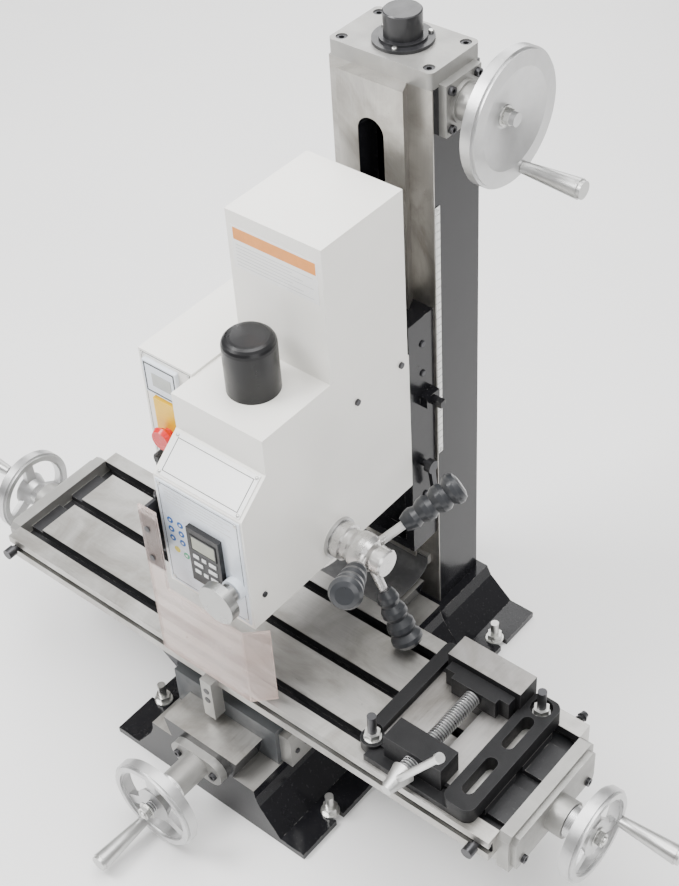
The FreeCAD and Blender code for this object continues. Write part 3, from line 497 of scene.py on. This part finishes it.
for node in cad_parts:
    if node.endswith("_handle"):
        low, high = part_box(node)
        middle = tuple((a + b) / 2 for a, b in zip(low, high))
        along = "y" if node.startswith("y") else "x"
        NODE_MATERIALS[node] = turned(f"{node}_metal", along, middle, (0.58, 0.58, 0.57), (0.28, 0.42))

# Widths of the softened edges, in millimetres; every other node has 0.5
BEVELS = {
    "base": 2.0, "column": 1.2, "head_cover": 2.2, "motor_cover": 2.2,
    "control_box": 2.0, "head_casting": 1.4, "column_top_plate": 2.0, "table": 0.7,
    "saddle": 1.2, "vise_body": 1.4, "vise_jaw": 1.2, "table_end_caps": 2.0,
    "z_housing": 1.6, "y_screw_bracket": 1.8, "drawbar_cap": 2.0, "x_handwheels": 1.6,
    "y_handwheel": 1.6, "z_handwheel": 1.6, "stop_switch_housing": 1.5, "feed_grips": 2.5,
}

for node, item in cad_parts.items():
    item.data.materials.clear()
    item.data.materials.append(NODE_MATERIALS.get(node, BRIGHT))
    soft = item.modifiers.new("soft_edges", "BEVEL")
    soft.width = BEVELS.get(node, 0.5) * MM
    soft.segments = 2
    soft.limit_method = "ANGLE"
    soft.angle_limit = math.radians(38)
    soft.harden_normals = True

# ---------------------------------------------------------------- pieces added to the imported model


def slab(bm, low, high):
    """A block between two corners, in millimetres."""
    corners = []
    for pick in range(8):
        corners.append(bm.verts.new([(high if pick >> k & 1 else low)[k] * MM for k in range(3)]))
    for face in ((0, 2, 3, 1), (4, 5, 7, 6), (0, 1, 5, 4), (2, 6, 7, 3), (0, 4, 6, 2), (1, 3, 7, 5)):
        bm.faces.new([corners[k] for k in face])


def spun(bm, axis, centre, profile, sides=32):
    """A shape turned about an axis; the profile is (distance along it, radius), closed at both ends."""
    rings = []
    u, v = {"x": (1, 2), "y": (0, 2), "z": (0, 1)}[axis]
    a = "xyz".index(axis)
    for along, radius in profile:
        ring = []
        for k in range(sides):
            point = list(centre)
            point[a] += along
            point[u] += radius * math.cos(2 * math.pi * k / sides)
            point[v] += radius * math.sin(2 * math.pi * k / sides)
            ring.append(bm.verts.new([c * MM for c in point]))
        rings.append(ring)
    for first, second in zip(rings, rings[1:]):
        for k in range(sides):
            bm.faces.new([first[k], first[(k + 1) % sides], second[(k + 1) % sides], second[k]])
    bm.faces.new(rings[0])
    bm.faces.new(rings[-1])


def piece(name, body, material, draw, bevel=0.3, turn=None, at=None, smooth=False):
    """A named piece drawn into a bmesh, softened, and riding on a body."""
    bm = bmesh.new()
    draw(bm)
    bmesh.ops.recalc_face_normals(bm, faces=bm.faces)
    mesh = bpy.data.meshes.new(name)
    bm.to_mesh(mesh)
    bm.free()
    if turn or at:
        mesh.transform(Matrix.Translation(Vector(at or (0, 0, 0)) * MM) @ (turn or Matrix.Identity(4)))
    mesh.materials.append(material)
    item = bpy.data.objects.new(name, mesh)
    bpy.context.scene.collection.objects.link(item)
    if smooth:
        mesh.shade_smooth()
    if bevel:
        soft = item.modifiers.new("soft_edges", "BEVEL")
        soft.width = bevel * MM
        soft.segments = 2
        soft.limit_method = "ANGLE"
        soft.harden_normals = True
    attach(item, body)
    return item


def mm(node):
    """A node's box in millimetres."""
    low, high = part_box(node)
    return [c / MM for c in low], [c / MM for c in high]


def outline(bm, low, high, line, top):
    """A thin raised frame on a plane z = 0, between two corners."""
    (x0, y0), (x1, y1) = low, high
    for a, b in (((x0, y0), (x1, y0 + line)), ((x0, y1 - line), (x1, y1)),
                 ((x0, y0 + line), (x0 + line, y1 - line)), ((x1 - line, y0 + line), (x1, y1 - line))):
        slab(bm, (*a, 0), (*b, top))


def rivet(bm, x, y, top, radius=2.4):
    spun(bm, "z", (x, y, top), [(0, radius), (0.7, radius * 0.95), (1.2, radius * 0.6), (1.4, 0.1)], 16)


BLACK_INK = plastic("printed_black", (0.015, 0.015, 0.016), 0.0, rough=(0.45, 0.6))
PLATE = paint("plate_enamel", (0.88, 0.88, 0.87), 0.3, rough=(0.18, 0.3), peel=0.02, grime=0.03, wear=0.1)
LCD = plastic("lcd_window", (0.26, 0.27, 0.20), 0.5, rough=(0.16, 0.26))
LCD_GREY = plastic("lcd_grey_window", (0.42, 0.44, 0.42), 0.5, rough=(0.16, 0.26))
RIVET = turned("rivet_metal", "z", ORIGIN, (0.72, 0.72, 0.7))
KEY = plastic("pale_key", (0.74, 0.75, 0.75), 0.2)
BLUE = plastic("icon_blue", (0.02, 0.13, 0.45), 0.2)
GREEN = plastic("icon_green", (0.02, 0.36, 0.16), 0.2)
ICON_YELLOW = plastic("icon_yellow", (0.85, 0.68, 0.02), 0.2)
ORANGE = plastic("label_orange", (0.85, 0.30, 0.04), 0.2)
PALE_LINE = plastic("label_grey_lines", (0.55, 0.55, 0.55), 0.1)
ZINC = turned("zinc_plate", "x", ORIGIN, (0.62, 0.62, 0.6), (0.2, 0.35))

# ---------------------------------------------------------------- stage, light and camera


def stage():
    mesh = bpy.data.meshes.new("floor")
    mesh.from_pydata([(-6, -6, 0), (6, -6, 0), (6, 6, 0), (-6, 6, 0)], [], [(0, 1, 2, 3)])
    floor = bpy.data.objects.new("floor", mesh)
    bpy.context.scene.collection.objects.link(floor)
    g = Graph("pale_floor")
    g.set("Base Color", g.ramp(g.noise(0.4, 3), [(0.3, (0.90, 0.895, 0.89)), (0.7, (0.93, 0.925, 0.92))]))
    g.shader.inputs["Roughness"].default_value = 0.55
    mesh.materials.append(g.material)
    world = bpy.data.worlds.new("studio")
    world.use_nodes = True
    tree = world.node_tree
    height = tree.nodes.new("ShaderNodeSeparateXYZ")
    tree.links.new(tree.nodes.new("ShaderNodeTexCoord").outputs["Generated"], height.inputs[0])
    sky = tree.nodes.new("ShaderNodeValToRGB")
    tree.links.new(height.outputs[2], sky.inputs["Fac"])
    sky.color_ramp.elements[0].color = (0.22, 0.22, 0.22, 1)
    sky.color_ramp.elements[1].color = (1.0, 0.995, 0.985, 1)
    tree.links.new(sky.outputs["Color"], tree.nodes["Background"].inputs["Color"])
    tree.nodes["Background"].inputs["Strength"].default_value = 1.0
    bpy.context.scene.world = world
    for name, place, aim, size, power in (
            ("key", (-1.3, -1.3, 2.6), (0, 0, 0.3), 1.3, 100),
            ("fill", (2.2, -1.2, 1.7), (0, 0, 0.3), 1.6, 30),
            ("top", (0.2, 0.3, 2.8), (0, 0, 0.2), 2.0, 90),
            ("back", (-1.4, 1.8, 1.6), (0, 0, 0.4), 1.5, 30)):
        light = bpy.data.lights.new(name, "AREA")
        light.size = size
        light.energy = power
        item = bpy.data.objects.new(name, light)
        item.location = place
        item.rotation_euler = (Vector(aim) - Vector(place)).to_track_quat("-Z", "Y").to_euler()
        bpy.context.scene.collection.objects.link(item)


def camera():
    azimuth, elevation, roll = (math.radians(v) for v in (42.2569, 42.5906, -4.069))
    level = math.cos(elevation)
    back = Vector((math.sin(azimuth) * level, -math.cos(azimuth) * level, math.sin(elevation)))
    right = (-back).cross(Vector((0, 0, 1))).normalized()
    up = right.cross(-back)
    across = right * math.cos(roll) + up * math.sin(roll)
    upward = up * math.cos(roll) - right * math.sin(roll)
    data = bpy.data.cameras.new("camera")
    data.lens = 65.79
    data.sensor_width = 36
    item = bpy.data.objects.new("camera", data)
    facing = Matrix((across, upward, back)).transposed().to_4x4()
    item.matrix_world = Matrix.Translation((0.8774, -0.92145, 1.54963)) @ facing
    bpy.context.scene.collection.objects.link(item)
    bpy.context.scene.camera = item


def name_plate():
    """The blank plate on the sloping face, with its printed frame and corner rivets."""
    head_low = mm("head_cover")[0]
    panel_top = mm("control_panel")[1][2]
    lower, upper = Vector((0, head_low[1], panel_top + 3)), Vector((0, head_low[1] + 40, panel_top + 36))
    slope = math.atan2(upper.z - lower.z, upper.y - lower.y)
    turn = Matrix.Rotation(slope, 4, "X")
    start = lower + (upper - lower) * 0.04

    piece("name_plate", "head", PLATE, lambda bm: slab(bm, (-56, 0, 0), (56, 47, PLATE_THICK)), 0.4, turn,
          start)
    piece("name_plate_line", "head", BLACK_INK,
          lambda bm: outline(bm, (-51, 5), (51, 42), 0.7, 0.25), 0, turn,
          start + turn.to_3x3() @ Vector((0, 0, PLATE_THICK)))

    def rivets(bm):
        for x in (-53, 53):
            for y in (3, 44):
                rivet(bm, x, y, PLATE_THICK, 2.0)

    piece("name_plate_rivets", "head", RIVET, rivets, 0, turn, start, True)


FRONT = Matrix.Rotation(math.radians(90), 4, "X")


def front_piece(name, material, draw, y, bevel=0.2, smooth=False):
    """A piece drawn flat in X and Z (as x, y) and stood up on a front face at y."""
    return piece(name, "head", material, draw, bevel, FRONT, (0, y, 0), smooth)


def control_front():
    face = mm("head_cover")[0][1] - PANEL_THICK

    front_piece("panel_frame_line", BLACK_INK,
                lambda bm: outline(bm, (-54, 290), (54, 431), 0.6, 0.2), face, 0)

    def rivets(bm):
        for x in (-52, 52):
            for z in (292, 429):
                rivet(bm, x, z, 0)

    front_piece("panel_rivets", RIVET, rivets, face, 0, True)
    icons = ((BLUE, "blue", [(x, z) for z in (355, 368, 381) for x in (-44, -30)]),
             (ICON_YELLOW, "yellow", [(-40, 340)]), (GREEN, "green", [(-27, 338)]))
    for material, word, spots in icons:
        def dots(bm, spots=spots):
            for x, z in spots:
                spun(bm, "z", (x, z, 0), [(0, 4.2), (0.3, 4.0)], 28)

        front_piece(f"panel_icons_{word}", material, dots, face, 0)

    def icon_centres(bm):
        for x, z in icons[0][2]:
            spun(bm, "z", (x, z, 0.3), [(0, 1.6), (0.15, 1.6)], 24)
        x, z = icons[2][2][0]
        slab(bm, (x - 1.6, z - 1.4, 0.3), (x + 1.6, z + 1.4, 0.5))

    front_piece("panel_icon_centres", PLATE, icon_centres, face, 0)

    def bands(bm):
        for k in range(5):
            slab(bm, (-46, 425 - 4.2 * k, 0), (44 - 9 * (k % 2), 425.7 - 4.2 * k, 0.15))

    front_piece("panel_print_bands", PALE_LINE, bands, face, 0)
    low, high = mm("depth_display")
    front, left, top = low[1], low[0], high[2]
    window = ((left + 6, top - 28), (high[0] - 6, top - 10))
    front_piece("depth_window", LCD, lambda bm: slab(bm, (*window[0], 0), (*window[1], 0.4)), front, 0.2)
    front_piece("depth_window_frame", BLACK_PLASTIC,
                lambda bm: outline(bm, [v - 2 for v in window[0]], [v + 2 for v in window[1]], 2, 0.9),
                front, 0.3)

    def keys(bm):
        for row, drop in enumerate((38, 49, 60)):
            for place, width in ((6, 8), (18, 6), (28, 10)) if row != 1 else ((6, 12), (26, 12)):
                slab(bm, (left + place, top - drop - 2.4, 0), (left + place + width, top - drop + 2.4, 1.0))

    front_piece("depth_keys", KEY, keys, front, 0.4)


def control_box_front():
    face = mm("control_box")[0][1] + 4
    low, high = mm("speed_display")
    front = low[1]
    inner = ((low[0] + 2, low[2] + 2), (high[0] - 2, high[2] - 2))
    front_piece("speed_frame_line", BLACK_INK, lambda bm: outline(bm, *inner, 1.4, 0.3), front, 0)
    window = ((low[0] + 12, low[2] + 12, 0), (high[0] - 8, high[2] - 13, 0.5))
    front_piece("speed_window", LCD_GREY, lambda bm: slab(bm, *window), front, 0.2)

    def line(bm):
        outline(bm, (-132, 374), (-63, 515), 0.6, 0.15)

    front_piece("box_frame_line", BLACK_INK, line, face, 0)

    def rivets(bm):
        for x in (-130, -65):
            for z in (376, 513):
                rivet(bm, x, z, 0, 1.8)

    front_piece("box_rivets", RIVET, rivets, face, 0, True)


def plain_label():
    """The sticker on the motor cover, left as a plain two-tone label."""
    face = mm("motor_cover")[0][1]
    front_piece("cover_label", PLATE, lambda bm: slab(bm, (-54, 611, 0), (54, 661, 0.3)), face, 0.1)
    front_piece("cover_label_band", ORANGE, lambda bm: slab(bm, (-52, 645, 0.3), (52, 659, 0.45)), face, 0)

    def lines(bm):
        for k in range(7):
            slab(bm, (-50, 639 - 4 * k, 0.3), (48 - 13 * ((k * 2) % 3), 639.8 - 4 * k, 0.4))

    front_piece("cover_label_lines", PALE_LINE, lines, face, 0)


def scale_strip():
    """The height scale on the column's side."""
    side = mm("column")[1][0]
    g = Graph("scale_marks")
    height = g.math("MULTIPLY", g.split(g.coords)[2], 1000.0)
    fine = g.math("LESS_THAN", g.math("FRACT", g.math("DIVIDE", height, 2.0)), 0.16)
    coarse = g.math("LESS_THAN", g.math("FRACT", g.math("DIVIDE", height, 10.0)), 0.07)
    tick = g.math("ADD", g.both(fine, g.within(1, 0.1388, 0.1425)), coarse, clamp=True)
    plate = lathe_look(g, "z", ORIGIN, (0.80, 0.80, 0.78), (0.28, 0.4), metallic=0.4)
    ink = (g.mix(0.5, (0.02, 0.02, 0.02), (0.03, 0.03, 0.03)), 0.0,
           g.span(g.noise(0.01, 4), 0.3, 0.7, 0.4, 0.6),
           g.normal((g.noise(0.001, 2), 0.05, 0.0002)))
    material = g.done(g.between(tick, plate, ink))
    piece("height_scale", "frame", material,
          lambda bm: slab(bm, (side, 139, 298), (side + SCALE_THICK, 147, 630)), 0.15)

    def pins(bm):
        for z in (303, 625):
            spun(bm, "x", (side + SCALE_THICK, 143, z), [(0, 1.8), (0.6, 1.5), (0.8, 0.2)], 16)

    piece("scale_pins", "frame", RIVET, pins, 0, smooth=True)


def small_hardware():
    """Nuts on the handwheels, socket heads and other small fixings."""
    z_end, x_ends, y_end = mm("z_pinion_shaft"), mm("x_lead_screw"), mm("y_lead_screw")
    table_screw, cross_screw = (-92, 153), (0, 67)
    for name, axis, centre, way, body in (
            ("z_wheel_nut", "x", (z_end[1][0] - 14, 176, 737), 1, "z_crank"),
            ("x_wheel_nut_right", "x", (x_ends[1][0] + 1, *table_screw), 1, "x_screw"),
            ("x_wheel_nut_left", "x", (x_ends[0][0] - 1, *table_screw), -1, "x_screw"),
            ("y_wheel_nut", "y", (cross_screw[0], y_end[0][1] - 1, cross_screw[1]), -1, "y_screw")):
        def nut(bm, axis=axis, centre=centre, way=way):
            spun(bm, axis, centre, [(0, 11), (way * 1.6, 11)], 40)
            spun(bm, axis, centre, [(way * 1.6, 8.6), (way * 8, 8.6)], 6)
            spun(bm, axis, centre, [(way * 8, 5), (way * 10, 4.6)], 24)

        piece(name, body, ZINC, nut, 0.5)

    def cap_screws(bm):
        for k in range(3):
            angle = math.radians(50 + 120 * k)
            spot = (27.3 * math.cos(angle), 176 + 27.3 * math.sin(angle), 783.5)
            spun(bm, "z", spot, [(0, 2.8), (2.0, 2.8), (2.6, 2.2)], 20)

    piece("cap_flange_screws", "frame", ZINC, cap_screws, 0.2)

    def block_screws(bm):
        for z in (137, 152):
            spun(bm, "y", (-7, -194, z), [(0, 4.2), (-0.5, 4.2)], 24)

    piece("stop_block_screws", "saddle", SCREW_BLACK, block_screws, 0.2)

    def bracket_screws(bm):
        for y in (-162, -146, -130):
            spun(bm, "x", (92, y, 92), [(0, 3.6), (1.4, 3.6), (2.0, 3.0)], 6)

    piece("gib_screws", "saddle", SCREW_BLACK, bracket_screws, 0.2)

    def gib_screws(bm):
        for z in (210, 250, 430, 470):
            spun(bm, "x", (60, 118, z), [(0, 4), (1.4, 4), (2.0, 3.2)], 20)

    piece("head_gib_screws", "head", SCREW_BLACK, gib_screws, 0.2)


def way_cover_sheet():
    """The rubber cover: one thin sheet from the saddle's clamp bar, sagging, then up the column's front."""
    low, high = mm("way_cover")
    path = [(low[1] + 1, 120.5), (34, 120.0), (43, 114.5), (52, 109.2), (62, 105.2), (75, 102.0), (95, 101.3),
            (112, 102.0), (123, 105.5), (129.5, 110.5), (131.5, 117), (131.8, high[2] - 0.5)]
    across = 24
    bm = bmesh.new()
    rows = []
    for number, (y, z) in enumerate(path):
        row = []
        for k in range(across + 1):
            x = low[0] + (high[0] - low[0]) * k / across
            sag = 0.35 * math.sin(number * 1.3 + k * 0.5)
            row.append(bm.verts.new((x * MM, y * MM, (z + sag) * MM)))
        rows.append(row)
    for first, second in zip(rows, rows[1:]):
        for k in range(across):
            bm.faces.new([first[k], first[k + 1], second[k + 1], second[k]])
    mesh = bpy.data.meshes.new("way_cover_sheet")
    bm.to_mesh(mesh)
    bm.free()
    mesh.shade_smooth()
    mesh.materials.append(RUBBER)
    item = bpy.data.objects.new("way_cover_sheet", mesh)
    bpy.context.scene.collection.objects.link(item)
    smooth = item.modifiers.new("smooth", "SUBSURF")
    smooth.levels = smooth.render_levels = 2
    thick = item.modifiers.new("thickness", "SOLIDIFY")
    thick.thickness = 1.2 * MM
    thick.offset = 0
    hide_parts("way_cover")
    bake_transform(item)


name_plate()
control_front()
control_box_front()
plain_label()
scale_strip()
small_hardware()
way_cover_sheet()
stage()
camera()
